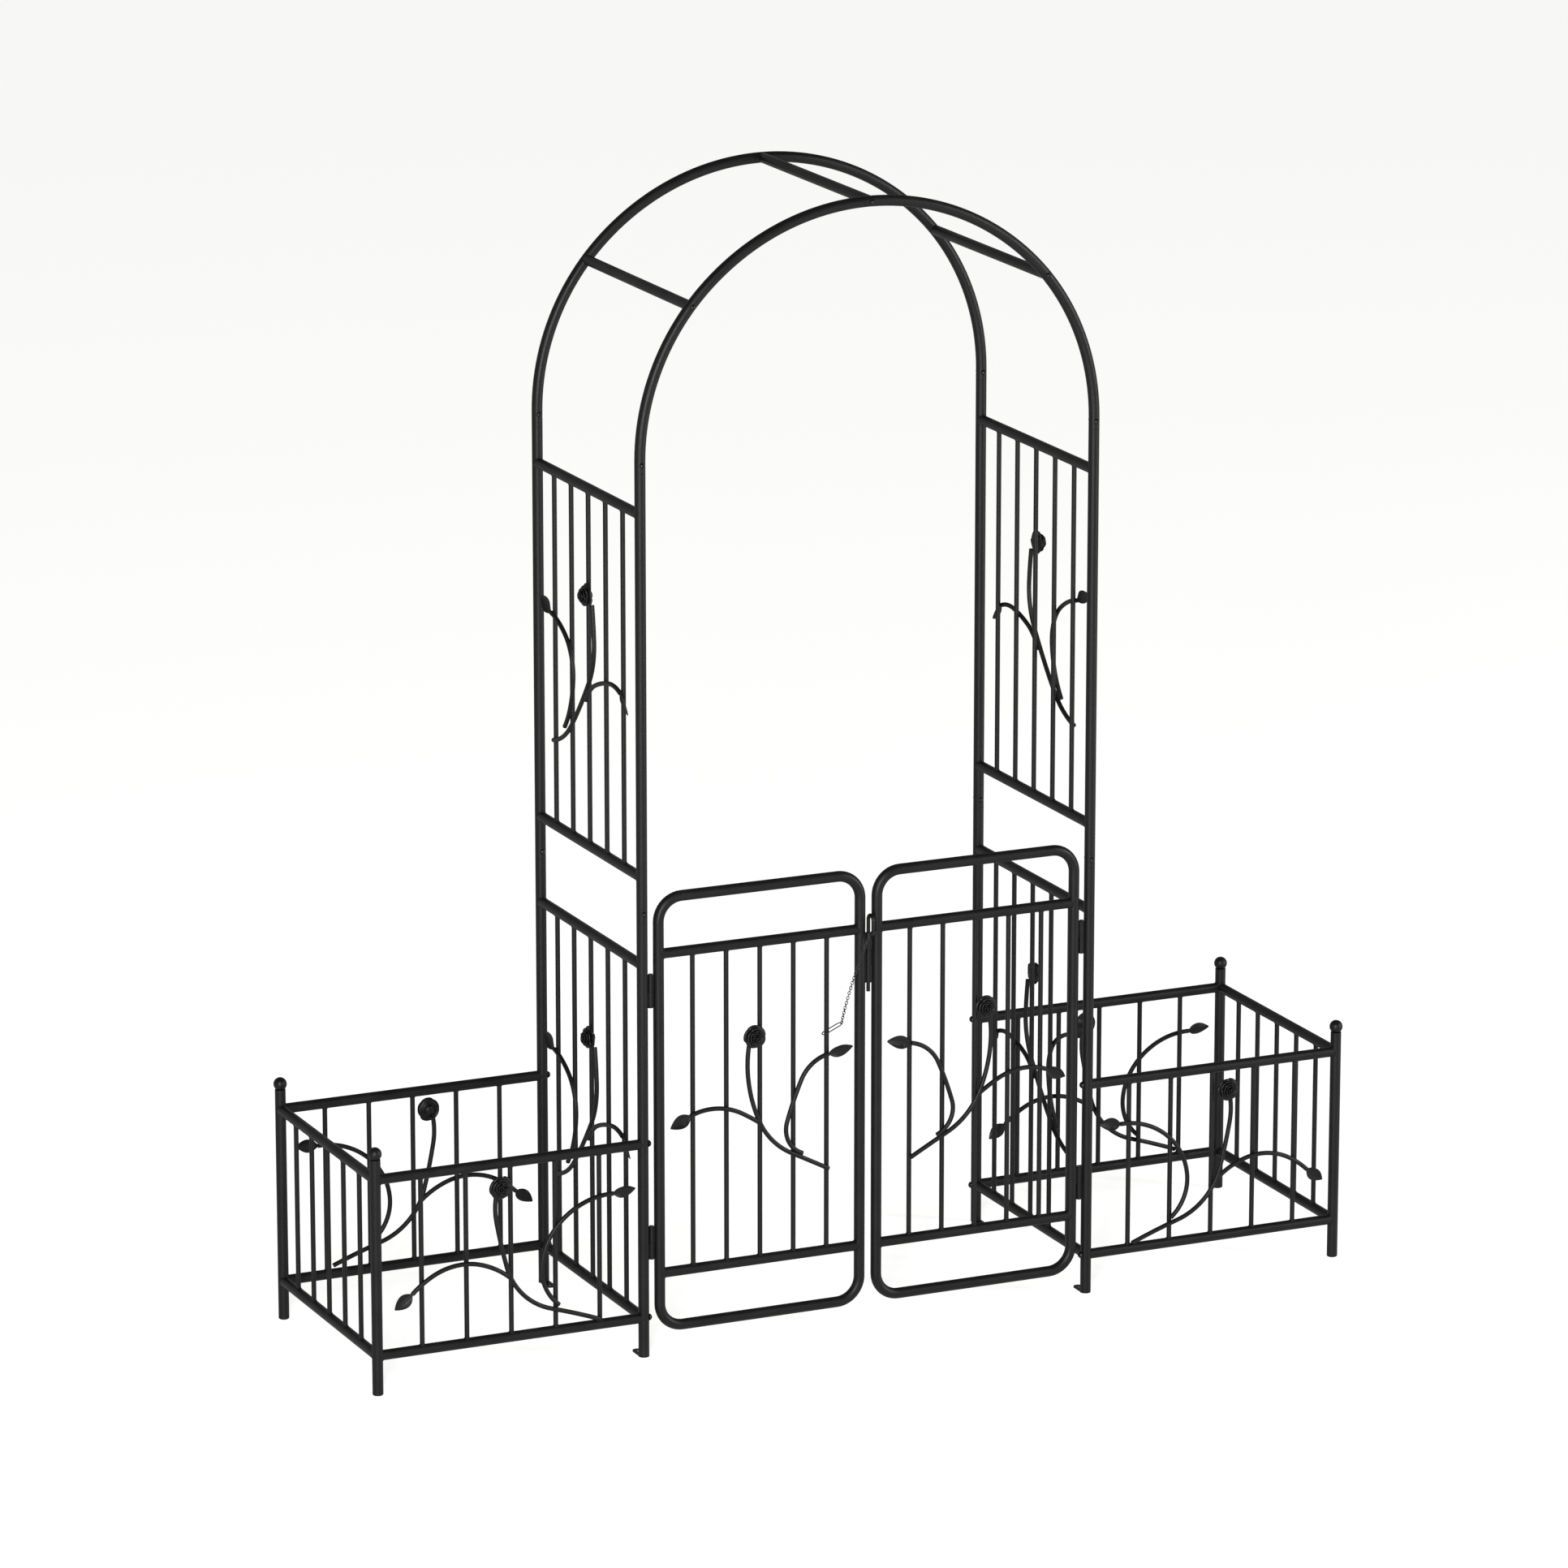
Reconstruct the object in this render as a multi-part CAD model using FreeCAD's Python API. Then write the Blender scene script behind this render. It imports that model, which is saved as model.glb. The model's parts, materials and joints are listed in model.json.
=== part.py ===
import FreeCAD, Part
import math
import os

# Garden arch of powder coated steel tube with a two leaf gate and an open planter on each side.
# Millimetres. X runs across the passage, Y from front (-) to back (+), Z up.
# The origin is on the ground, in the middle of the passage.

# overall frame
passage_width = 900.0      # between the centres of the main posts
frame_depth = 473.0        # between the front and the back posts
planter_length = 522.0     # from a main post to a corner post, centre to centre
arch_spring = 1672.5       # height where the arch starts to bend
arch_rise = 435.0          # from the spring to the crown's centre line
haunch_angle = 45.0        # where the tighter haunch meets the flatter crown, degrees above level
crossbar_angle = 40.0      # where the side cross bars meet the haunch

# tube and bar stock
post_r = 10.0
rail_r = 9.5
tube_wall = 0.8
bar_r = 4.5
bar_wall = 0.6
stem_r = 4.25
bars_per_panel = 5

# sleeve joints: the upper tube slips over a swaged end of the lower one
mid_seam = 825.0
arch_seam = 1652.0
sleeve_length = 45.0
sleeve_clearance = 0.1
seam_gap = 0.6
bolt_above_seam = 15.0

# rail heights
side_upper_rails = (907.0, 1576.0)
side_lower_rails = (74.0, 743.0)
planter_rails = (74.0, 405.5)
gate_rails = (155.0, 760.5)

# gate leaves
gate_outer_x = 418.0       # centre of the hinge stile
gate_inner_x = 17.0        # centre of the meeting stile
gate_bottom = 51.0
gate_top = 865.0
gate_corner_r = 45.0

# hinges
hinge_x = 434.0
hinge_bottoms = (184.5, 661.5)
knuckle_length = 30.5
knuckle_gap = 0.5
knuckle_r = 5.0
hinge_pin_r = 3.0
running_clearance = 0.1
tab_thickness = 4.0

# latch
latch_bottom = 657.5
latch_pin_r = 3.5
latch_knuckle_r = 5.5
latch_bore_r = 3.7
latch_tip_below = 17.0
loop_width = 18.0
loop_top = 790.0
loop_drop = 22.0           # straight part on the loop's far side
loop_curl = (70, 6.0)      # angle and radius of the curl that keeps the jump ring on
loop_tail = 1.5
jump_ring_level = 20.5     # below the loop's centre
collar_thickness = 1.5
collar_gap = 0.2
loop_turn = 85.0           # the pull loop stands forward, almost square to the leaves

# small parts
foot_thickness = 2.5
foot_reach = 39.0
foot_width = 18.0
foot_hole_r = 4.25
foot_hole_at = 28.0
cap_height = 4.0
cap_plug = 12.0
corner_post_top = 442.0
finial_r = 12.5
finial_centre = 12.0       # above the post's end
finial_collar = 1.5
bolt_r = 2.5
hole_r = 2.7
nut_bore_r = 2.55
nut_corner_r = 5.2
nut_height = 4.0
insert_from = 13.0
insert_length = 13.0
small_head = (5.2, 4.0)    # radius and height of a dome head
large_head = (6.5, 6.0)

# safety chain
link_wire_r = 0.65
link_half_length = 3.3     # along the link's centre line
link_half_width = 2.3
link_pitch = 5.0
link_slack = 0.3
chain_sag = 9.0
chain_bulge = 5.0
ring_wire_r = 1.0
ring_half_length = 21.0
ring_half_width = 6.6
ring_slope = 24.0          # the ring leans on the last bar
ring_end = (-53.7, 586.3)
jump_ring_r = 6.0
jump_ring_wire_r = 0.8
jump_ring_tilt = 30.0
jump_ring_drop = 0.9       # how far it hangs off the pull loop's centre line

# vines: points run outwards and up from the flower's centre, as seen from the panel's outer face
gate_vine = {
    "flower": (-15.8, 127.7),
    "flower_stem": [(-9, -14), (-12, -70), (11, -163.5), (76, -232.5), (150, -271.5)],
    "low_stem": [(-126, -136), (-88, -128), (-24.5, -143.5), (14, -168)],
    "low_tip": (-166, -155.5),
    "high_stem": [(150, -52), (95, -95), (66.5, -172), (97.5, -235)],
    "high_tip": (199, -43),
}
side_vine = {
    "flower": (-24.0, 142.5),
    "flower_stem": [(-12, -16), (-20, -80), (3, -162), (88, -264), (173, -311)],
    "low_stem": [(-139, -151), (-88, -145), (-24, -163), (20, -201)],
    "low_tip": (-175, -184),
    "high_stem": [(180, -72), (113, -100), (78, -175), (119, -273)],
    "high_tip": (225, -49),
}
planter_vine = {
    "flower": (-23.9, 123.7),
    "flower_stem": [(-7, -14), (-7, -66), (12.4, -153.6), (100, -244), (195, -277)],
    "low_stem": [(-172, -180), (-131, -150.5), (-85, -137), (-35, -143), (22, -177)],
    "low_stem_heading": 44.0,
    "low_tip": (-206, -205),
    "high_stem": [(222, -41), (160, -53), (108.5, -92), (81, -158), (114, -238)],
    "high_stem_heading": 178.0,
    "high_tip": (266, -37),
}
planter_nudges = {("right", "front"): 2.5, ("left", "back"): -13.0}   # these two vines are welded off the pattern
vine_headings = {"flower_stem": -100.0, "low_stem": 22.0, "high_stem": 190.0}
vine_offset = bar_r + stem_r + 0.05
flower_r = 22.5
flower_depth = 26.0
leaf_half_width = 13.5
leaf_thickness = 1.6

half_width = passage_width / 2
half_depth = frame_depth / 2
planter_x = half_width + planter_length
up = FreeCAD.Vector(0, 0, 1)
across = FreeCAD.Vector(1, 0, 0)
backwards = FreeCAD.Vector(0, 1, 0)

nodes = {}


def vec(x, y, z):
    return FreeCAD.Vector(x, y, z)


def polar(angle, radius=1.0):
    # a direction in the upright XZ plane, measured from +X towards +Z
    return vec(radius * math.cos(math.radians(angle)), 0, radius * math.sin(math.radians(angle)))


def add(name, *solids):
    nodes.setdefault(name, []).extend(solids)


def rod(start, end, radius):
    return Part.makeCylinder(radius, (end - start).Length, start, end - start)


def tube(start, end, radius, wall):
    return rod(start, end, radius).cut(rod(start, end, radius - wall))


def section(centre, normal, radius, bore=0):
    # a round face, or a ring when it has a bore
    face = Part.Face(Part.Wire(Part.makeCircle(radius, centre, normal)))
    if bore:
        face = face.cut(Part.Face(Part.Wire(Part.makeCircle(bore, centre, normal)))).Faces[0]
    return face


def turned(profile, base=vec(0, 0, 0), axis=up):
    # a solid of revolution from (radius, height) corners, stood on base along axis
    corners = [vec(r, 0, h) for r, h in profile]
    solid = Part.Face(Part.makePolygon(corners + corners[:1])).revolve(vec(0, 0, 0), up, 360)
    return placed(solid, base, FreeCAD.Rotation(up, axis))


def placed(shape, base, rotation):
    copy = shape.copy()
    copy.Placement = FreeCAD.Placement(base, rotation).multiply(shape.Placement)
    return copy


def bent(start, heading, legs, radius, bore=0):
    # a round bar or tube made of straight legs (length,) and bends (angle, bend radius, axis)
    pieces = []
    for leg in legs:
        face = section(start, heading, radius, bore)
        if len(leg) == 1:
            pieces.append(face.extrude(heading * leg[0]))
            start = start + heading * leg[0]
        else:
            angle, bend_r, axis = leg
            centre = start + axis.cross(heading) * bend_r * math.copysign(1, angle)
            turn = FreeCAD.Rotation(axis, angle)
            pieces.append(face.revolve(centre, axis, angle))
            start = centre + turn.multVec(start - centre)
            heading = turn.multVec(heading)
    return pieces[0].multiFuse(pieces[1:]).removeSplitter() if len(pieces) > 1 else pieces[0]


def arcs_through(points, heading_angle):
    # legs of tangent arcs in the XZ plane that pass through each point in turn
    axis = vec(0, -1, 0)
    legs = []
    for (x0, z0), (x1, z1) in zip(points, points[1:]):
        chord = math.hypot(x1 - x0, z1 - z0)
        off = math.degrees(math.atan2(z1 - z0, x1 - x0)) - heading_angle
        off = (off + 180) % 360 - 180
        legs.append((2 * off, abs(chord / (2 * math.sin(math.radians(off)))), axis))
        heading_angle += 2 * off
    return legs


def smooth_bar(points, heading_angle, radius):
    start = vec(points[0][0], 0, points[0][1])
    return bent(start, polar(heading_angle), arcs_through(points, heading_angle), radius)


def dome_bolt(point, direction, head, length):
    # dome head resting on point, shank running along direction
    head_r, head_h = head
    ball_r = (head_r ** 2 + head_h ** 2) / (2 * head_h)
    dome = Part.makeSphere(ball_r, vec(0, 0, head_h - ball_r)).common(Part.makeCylinder(head_r + 1, head_h))
    shank = Part.makeCylinder(bolt_r, length, vec(0, 0, -length))
    return placed(dome.fuse(shank).removeSplitter(), point, FreeCAD.Rotation(up, direction * -1))


def hex_nut(point, direction):
    turns = [math.radians(60 * i) for i in range(6)]
    corners = [vec(nut_corner_r * math.cos(turn), nut_corner_r * math.sin(turn), 0) for turn in turns]
    nut = Part.Face(Part.makePolygon(corners + corners[:1])).extrude(up * nut_height)
    nut = nut.cut(Part.makeCylinder(nut_bore_r, nut_height))
    return placed(nut, point, FreeCAD.Rotation(up, direction))


def cross_hole(point, direction, reach=14.0):
    return Part.makeCylinder(hole_r, 2 * reach, point - direction * reach, direction)


# main posts

def swaged_post(x, y, bottom, seam, spigot_top):
    # a tube whose top end is squeezed to slip inside the tube above
    slip = post_r - tube_wall - sleeve_clearance
    inner = post_r - tube_wall
    return turned([(post_r, bottom), (post_r, seam), (slip, seam), (slip, spigot_top),
                   (slip - tube_wall, spigot_top), (slip - tube_wall, seam - 4), (inner, seam - 8),
                   (inner, bottom)], vec(x, y, 0))


def lower_post(x, y):
    post = swaged_post(x, y, foot_thickness, mid_seam, mid_seam + sleeve_length)
    post = post.cut(cross_hole(vec(x, y, mid_seam + bolt_above_seam), backwards))
    for z in planter_rails:
        post = post.cut(cross_hole(vec(x, y, z), across))
    return post


def upper_post(x, y):
    post = swaged_post(x, y, mid_seam + seam_gap, arch_seam, arch_spring)
    for z in (mid_seam + bolt_above_seam, arch_seam + bolt_above_seam):
        post = post.cut(cross_hole(vec(x, y, z), backwards))
    return post


def foot_tab(x, y):
    inwards = -math.copysign(1, y)
    tip = foot_reach - foot_width / 2
    plate = Part.makeCylinder(post_r, foot_thickness)
    plate = plate.fuse(Part.makeBox(foot_width, tip, foot_thickness, vec(-foot_width / 2, 0, 0)))
    plate = plate.fuse(Part.makeCylinder(foot_width / 2, foot_thickness, vec(0, tip, 0)))
    plate = plate.cut(Part.makeCylinder(foot_hole_r, foot_thickness, vec(0, foot_hole_at, 0))).removeSplitter()
    return placed(plate, vec(x, y, 0), FreeCAD.Rotation(up, 0 if inwards > 0 else 180))


# arch: each front and back arch is two halves joined just left of the crown

spread = math.radians(haunch_angle)
radius_change = (half_width - arch_rise) / (math.cos(spread) + math.sin(spread) - 1)
haunch_r = arch_rise - radius_change * (1 - math.sin(spread))
crown_r = haunch_r + radius_change


def crown_turn(x):
    # how far the crown still turns after the haunch to reach x, seen from the right post
    return 90 - haunch_angle - math.degrees(math.asin(x / crown_r))


def arch_bar(crown_angle, bore=0):
    # from the right post's sleeve, over the haunch and along the crown
    start = vec(half_width, 0, arch_seam + seam_gap)
    axis = backwards * -1
    legs = [(arch_spring - start.z,), (haunch_angle, haunch_r, axis), (crown_angle, crown_r, axis)]
    return bent(start, up, legs, post_r, bore)


def crown_bar(from_x, to_x, radius, bore):
    centre = vec(0, 0, arch_spring + arch_rise - crown_r)
    angle = math.degrees(math.asin(from_x / crown_r))
    start = centre + polar(90 - angle, crown_r)
    sweep = math.degrees(math.asin(to_x / crown_r)) - angle
    return bent(start, polar(-angle), [(sweep, crown_r, backwards)], radius, bore)


def mirrored(shape):
    return shape.mirror(vec(0, 0, 0), across)


def arch_halves(y):
    # both are made on the right; the left one has the swaged crown end and is mirrored
    inner, slip = post_r - tube_wall, post_r - tube_wall - sleeve_clearance
    seam_x = bolt_above_seam
    neck_r, bore = post_r - tube_wall / 2, slip - tube_wall
    spigot = crown_bar(seam_x, seam_x + 6, neck_r, bore).fuse(crown_bar(-seam_x, seam_x, slip, bore))
    left = arch_bar(crown_turn(seam_x), inner).fuse(spigot)
    right = arch_bar(crown_turn(seam_gap - seam_x), inner)
    halves = []
    for half in (left, right):
        half = half.cut(cross_hole(vec(half_width, 0, arch_seam + bolt_above_seam), backwards))
        for x, z in crossbar_places():
            if x >= 0:
                half = half.cut(cross_hole(vec(x, 0, z), backwards))
        half.translate(vec(0, y, 0))
        halves.append(half)
    return mirrored(halves[0]), halves[1]


def crossbar_places():
    angle = math.radians(crossbar_angle)
    x = half_width - haunch_r + haunch_r * math.cos(angle)
    z = arch_spring + haunch_r * math.sin(angle)
    return [(-x, z), (0.0, arch_spring + arch_rise), (x, z)]


def crossbar(x, z):
    bar = tube(vec(x, -half_depth, z), vec(x, half_depth, z), rail_r, tube_wall)
    hug = arch_bar(crown_turn(-20.0))
    if x < 0:
        hug = mirrored(hug)
    for y in (-half_depth, half_depth):
        bar = bar.cut(placed(hug, vec(0, y, 0), FreeCAD.Rotation()))
    return bar


def insert(post_centre, direction):
    # threaded plug just inside the end of a rail
    start = post_centre + direction * insert_from
    end = start + direction * insert_length
    return rod(start, end, rail_r - tube_wall - sleeve_clearance).cut(rod(start, end, nut_bore_r))


# welded grilles, drawn in a panel's own frame: x along the panel, y from its outer face inwards

def grille(width, rails, end_r):
    low, high = rails
    solids = []
    for z in rails:
        rail = tube(vec(-width / 2, 0, z), vec(width / 2, 0, z), rail_r, tube_wall)
        for x in (-width / 2, width / 2):
            rail = rail.cut(rod(vec(x, 0, z - 20), vec(x, 0, z + 20), end_r))
        solids.append(rail)
    for i in range(1, bars_per_panel + 1):
        x = -width / 2 + i * width / (bars_per_panel + 1)
        bar = tube(vec(x, 0, low), vec(x, 0, high), bar_r, bar_wall)
        for z in rails:
            bar = bar.cut(rod(vec(x - 20, 0, z), vec(x + 20, 0, z), rail_r))
        solids.append(bar)
    return solids


def flower():
    rim = flower_r
    return turned([(0, 0), (rim * 0.4, 0), (rim * 0.75, flower_depth * 0.25), (rim, flower_depth * 0.6),
                   (rim * 0.93, flower_depth * 0.85), (rim * 0.5, flower_depth), (0, flower_depth)],
                  vec(0, 0, 0), backwards * -1)


def leaf(base, tip):
    # a pointed plate between two arcs
    base, tip = vec(base[0], 0, base[1]), vec(tip[0], 0, tip[1])
    side = (tip - base).normalize().cross(backwards) * leaf_half_width
    middle = (base + tip) * 0.5
    edges = [Part.Arc(base, middle + side, tip).toShape(), Part.Arc(tip, middle - side, base).toShape()]
    plate = Part.Face(Part.Wire(edges)).extrude(vec(0, leaf_thickness, 0))
    plate.translate(vec(0, -leaf_thickness / 2, 0))
    return plate


def longest(shape):
    # the main piece of a stem that another one crosses
    return max(shape.Solids, key=lambda solid: solid.Volume)


def vine(design, hand, centre_z, nudge):
    # returns stems, leaves and the flower; hand -1 draws the mirrored pattern
    def flip(points):
        return [(hand * x, z) for x, z in points]

    def stem(name):
        heading = design.get(name + "_heading", vine_headings[name])
        heading = heading if hand > 0 else 180 - heading
        return smooth_bar(flip(design[name]), heading, stem_r)

    bloom = flower()
    bloom.translate(vec(0, vine_offset - bar_r - 0.05, 0))
    flower_stem = longest(stem("flower_stem").cut(bloom))
    stems = [flower_stem] + [longest(stem(name).cut(flower_stem)) for name in ("low_stem", "high_stem")]
    leaves = [leaf(flip(design[kind + "_stem"])[0], flip([design[kind + "_tip"]])[0]) for kind in ("low", "high")]
    spot = vec(hand * design["flower"][0] + nudge, -vine_offset, centre_z + design["flower"][1])
    groups = []
    for shapes in (stems, leaves, [bloom]):
        solids = [solid for shape in shapes for solid in shape.Solids]
        groups.append([placed(solid, spot, FreeCAD.Rotation()) for solid in solids])
    return groups


def stand(shapes, x, y, turn):
    # moves a panel's shapes from its own frame to its place
    return [placed(shape, vec(x, y, 0), FreeCAD.Rotation(up, turn)) for shape in shapes]


def add_panel(names, place, width, rails, end_r, design=None, hand=1, nudge=0.0):
    grille_name, stems_name, leaves_name, flowers_name = names
    add(grille_name, *stand(grille(width, rails, end_r), *place))
    if design:
        groups = vine(design, hand, sum(rails) / 2, nudge)
        for name, shapes in zip((stems_name, leaves_name, flowers_name), groups):
            add(name, *stand(shapes, *place))


# gate leaves

def gate_frame(side):
    width = gate_outer_x - gate_inner_x
    height = gate_top - gate_bottom
    r = gate_corner_r
    axis = backwards
    legs = [(height - 2 * r,), (90, r, axis), (width - 2 * r,), (90, r, axis)] * 2
    start = vec(-width / 2, 0, gate_bottom + r)
    frame = bent(start, up, legs, post_r, post_r - tube_wall)
    return placed(frame, vec(side * (gate_outer_x + gate_inner_x) / 2, -half_depth, 0), FreeCAD.Rotation())


def knuckle(x, z, length, radius, bore, towards, neighbour_r):
    # a rolled knuckle with a short tab welded to the tube at x = towards
    y = -half_depth
    axis = vec(x, y, z)
    reach = towards - x
    tab = Part.makeBox(abs(reach), tab_thickness, length, vec(min(x, towards), y - tab_thickness / 2, z))
    shape = Part.makeCylinder(radius, length, axis).fuse(tab)
    shape = shape.cut(Part.makeCylinder(bore, length, axis))
    return shape.cut(Part.makeCylinder(neighbour_r, length, vec(towards, y, z))).removeSplitter()


def add_hinges(side, leaf_name):
    x = side * hinge_x
    upper = knuckle_length + knuckle_gap
    for z in hinge_bottoms:
        add("post_hinge_knuckles",
            knuckle(x, z, knuckle_length, knuckle_r, hinge_pin_r, side * half_width, post_r))
        add(leaf_name + "_hinge_knuckles",
            knuckle(x, z + upper, knuckle_length, knuckle_r, hinge_pin_r + running_clearance,
                    side * gate_outer_x, post_r))
        pin_top = z + upper + knuckle_length
        head = Part.makeCylinder(knuckle_r - 0.8, 1.5, vec(x, -half_depth, pin_top + 0.3))
        shaft = Part.makeCylinder(hinge_pin_r, pin_top + 0.3 - z, vec(x, -half_depth, z))
        add("hinge_pins", shaft.fuse(head).removeSplitter())


# latch: a drop pin through three knuckles, kept by a chain and a ring on the last bar

def latch_knuckle(level, side):
    z = latch_bottom + level * (knuckle_length + knuckle_gap)
    return knuckle(0, z, knuckle_length, latch_knuckle_r, latch_bore_r, side * gate_inner_x, post_r)


def loop_forward():
    return FreeCAD.Rotation(up, -loop_turn).multVec(across)


def latch_pin():
    top = latch_bottom + 3 * knuckle_length + 2 * knuckle_gap
    bottom = latch_bottom - latch_tip_below
    side = up.cross(loop_forward())
    half = loop_width / 2
    shoulder = loop_top - latch_pin_r - half
    legs = [(shoulder - bottom,), (180, half, side), (loop_drop,), loop_curl + (side,), (loop_tail,)]
    pin = bent(vec(0, -half_depth, bottom), up, legs, latch_pin_r)
    collar = Part.makeCylinder(latch_knuckle_r, collar_thickness, vec(0, -half_depth, top + collar_gap))
    return pin.fuse(collar).removeSplitter()


def jump_ring_centre():
    # the ring hangs on the loop's lower end, its low side towards the last bar
    level = loop_top - latch_pin_r - loop_width / 2 - jump_ring_level
    drop = FreeCAD.Rotation(backwards, -jump_ring_tilt).multVec(across * -jump_ring_drop)
    return vec(0, -half_depth, level) + loop_forward() * loop_width + drop


def jump_ring():
    return placed(Part.makeTorus(jump_ring_r, jump_ring_wire_r), jump_ring_centre(),
                  FreeCAD.Rotation(backwards, -jump_ring_tilt))


def oval_link(half_length, half_across, wire_r):
    # a link in the XZ plane with its long side along Z
    straight = half_length - half_across
    start = vec(-half_across, 0, -straight)
    legs = [(2 * straight,), (180, half_across, backwards)] * 2
    return bent(start, up, legs, wire_r)


def chain_ends():
    # half a pitch past the centre of the first and the last link, each hooked over its ring's wire
    overlap = link_pitch / 2 - (link_half_length - link_wire_r - link_slack)
    low_side = FreeCAD.Rotation(backwards, -jump_ring_tilt).multVec(across * -jump_ring_r)
    start = jump_ring_centre() + low_side + up * (overlap + jump_ring_wire_r)
    end = vec(ring_end[0], -half_depth, ring_end[1]) - up * (overlap + ring_wire_r)
    return start, end


def chain_point(start, end, t):
    # a light hang from the pull loop to the ring, bowed forward over the stile
    belly = 4 * t * (1 - t)
    bow = vec(-chain_sag * belly, -chain_bulge * belly, -chain_sag * belly / 2)
    return start + (end - start) * t + bow


def latch_chain():
    steps = 400
    points = [chain_point(*chain_ends(), i / steps) for i in range(steps + 1)]
    length = sum((after - before).Length for before, after in zip(points, points[1:]))
    count = round(length / link_pitch)
    turn = 90 / (count - 1) if count % 2 == 0 else 0.0
    links = []
    travelled = 0.0
    for before, after in zip(points, points[1:]):
        travelled += (after - before).Length
        if travelled >= (len(links) + 0.5) * length / count:
            lean = FreeCAD.Rotation(up, before - after)
            roll = FreeCAD.Rotation(up, 90 * (len(links) % 2) + turn * len(links))
            link = oval_link(link_half_length, link_half_width, link_wire_r)
            links.append(placed(link, after, lean.multiply(roll)))
    print("chain", len(links), "links, length", round(length, 1))
    return links


def chain_ring():
    # a long narrow ring round the last bar
    ring = oval_link(ring_half_length, ring_half_width, ring_wire_r)
    flat = FreeCAD.Rotation(up, 90)
    tilt = FreeCAD.Rotation(backwards, 90 - ring_slope)
    centre = vec(ring_end[0], -half_depth, ring_end[1]) - tilt.multVec(up) * ring_half_length
    return placed(ring, centre, tilt.multiply(flat))


def build_frame():
    corners = [(side_name, side, face_name, face) for side_name, side in (("left", -1), ("right", 1))
               for face_name, face in (("front", -1), ("back", 1))]
    head_at = post_r
    for side_name, side, face_name, face in corners:
        x, y = side * half_width, face * half_depth
        add("lower_post_%s_%s" % (face_name, side_name), lower_post(x, y))
        add("upper_post_%s_%s" % (face_name, side_name), upper_post(x, y))
        add("foot_tabs", foot_tab(x, y))
        for seam in (mid_seam, arch_seam):
            z = seam + bolt_above_seam
            add("sleeve_bolts", dome_bolt(vec(x, y - head_at, z), backwards, small_head, 2 * head_at + 4.5))
            add("sleeve_nuts", hex_nut(vec(x, y + head_at, z), backwards))
        for z in planter_rails:
            outwards = across * side
            add("planter_bolts",
                dome_bolt(vec(x - side * head_at, y, z), outwards, large_head,
                          head_at + insert_from + insert_length))
            add("threaded_inserts", insert(vec(x, y, z), outwards))
        cx = side * planter_x
        add("corner_posts_" + side_name,
            tube(vec(cx, y, cap_height), vec(cx, y, corner_post_top), post_r, tube_wall))
        plug = post_r - tube_wall - sleeve_clearance
        add("post_end_caps",
            turned([(0, 0), (post_r - 1.5, 0), (post_r, 1.5), (post_r, cap_height), (plug, cap_height),
                    (plug, cap_height + cap_plug), (0, cap_height + cap_plug)], vec(cx, y, 0)))
        ball = Part.makeSphere(finial_r, vec(cx, y, corner_post_top + finial_centre))
        collar = Part.makeCylinder(post_r, finial_collar, vec(cx, y, corner_post_top))
        stub = Part.makeCylinder(plug, cap_plug, vec(cx, y, corner_post_top - cap_plug))
        ball = ball.cut(Part.makeCylinder(20, 10, vec(cx, y, corner_post_top - 10)))
        add("post_finials", ball.fuse([collar, stub]).removeSplitter())
    for face_name, face in (("front", -1), ("back", 1)):
        for side_name, half in zip(("left", "right"), arch_halves(face * half_depth)):
            add("arch_half_%s_%s" % (face_name, side_name), half)
        for x, z in crossbar_places():
            inwards = backwards * -face
            centre = vec(x, face * half_depth, z)
            add("crossbar_bolts", dome_bolt(centre - inwards * head_at, inwards, small_head,
                                            head_at + insert_from + insert_length))
            add("threaded_inserts", insert(centre, inwards))
    for name, (x, z) in zip(("left", "top", "right"), crossbar_places()):
        add("cross_bar_" + name, crossbar(x, z))


def build_panels():
    for name, side in (("left", -1), ("right", 1)):
        facing = 90 * side
        vines = (name + "_side_vines", "frame_leaves", "frame_flowers")
        for level, rails in (("upper", side_upper_rails), ("lower", side_lower_rails)):
            add_panel(("%s_side_grille_%s" % (level, name),) + vines, (side * half_width, 0, facing),
                      frame_depth, rails, post_r, side_vine, -1)
        vines = (name + "_planter_vines", "frame_leaves", "frame_flowers")
        x = side * (half_width + planter_length / 2)
        for face, y, turn in (("front", -half_depth, 0), ("back", half_depth, 180)):
            add_panel(("%s_planter_%s_grille" % (name, face),) + vines, (x, y, turn),
                      planter_length, planter_rails, post_r, planter_vine, -side,
                      planter_nudges.get((name, face), 0.0))
        add_panel(("%s_planter_end_grille" % name,) + vines, (side * planter_x, 0, facing),
                  frame_depth, planter_rails, post_r)


def build_gates():
    for name, side in (("left", -1), ("right", 1)):
        leaf_name = name + "_gate"
        add(leaf_name + "_frame", gate_frame(side))
        add_panel((leaf_name + "_grille", leaf_name + "_vine", leaf_name + "_leaves", leaf_name + "_flower"),
                  (side * (gate_outer_x + gate_inner_x) / 2, -half_depth, 0),
                  gate_outer_x - gate_inner_x, gate_rails, post_r, gate_vine, -side)
        add_hinges(side, leaf_name)
    add("latch_knuckles_left", latch_knuckle(0, -1), latch_knuckle(2, -1))
    add("latch_knuckle_right", latch_knuckle(1, 1))
    add("latch_pin", latch_pin())
    add("latch_chain", jump_ring(), *latch_chain())
    add("chain_ring", chain_ring())


build_frame()
build_panels()
build_gates()

os.makedirs("parts", exist_ok=True)
for name, solids in nodes.items():
    shape = solids[0] if len(solids) == 1 else Part.makeCompound(solids)
    if not shape.isValid() or len(shape.Solids) != len(solids):
        print("check", name, shape.isValid(), len(shape.Solids), len(solids))
    shape.exportStep("parts/%s.step" % name)
print(len(nodes), "nodes,", sum(len(s) for s in nodes.values()), "solids")
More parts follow.
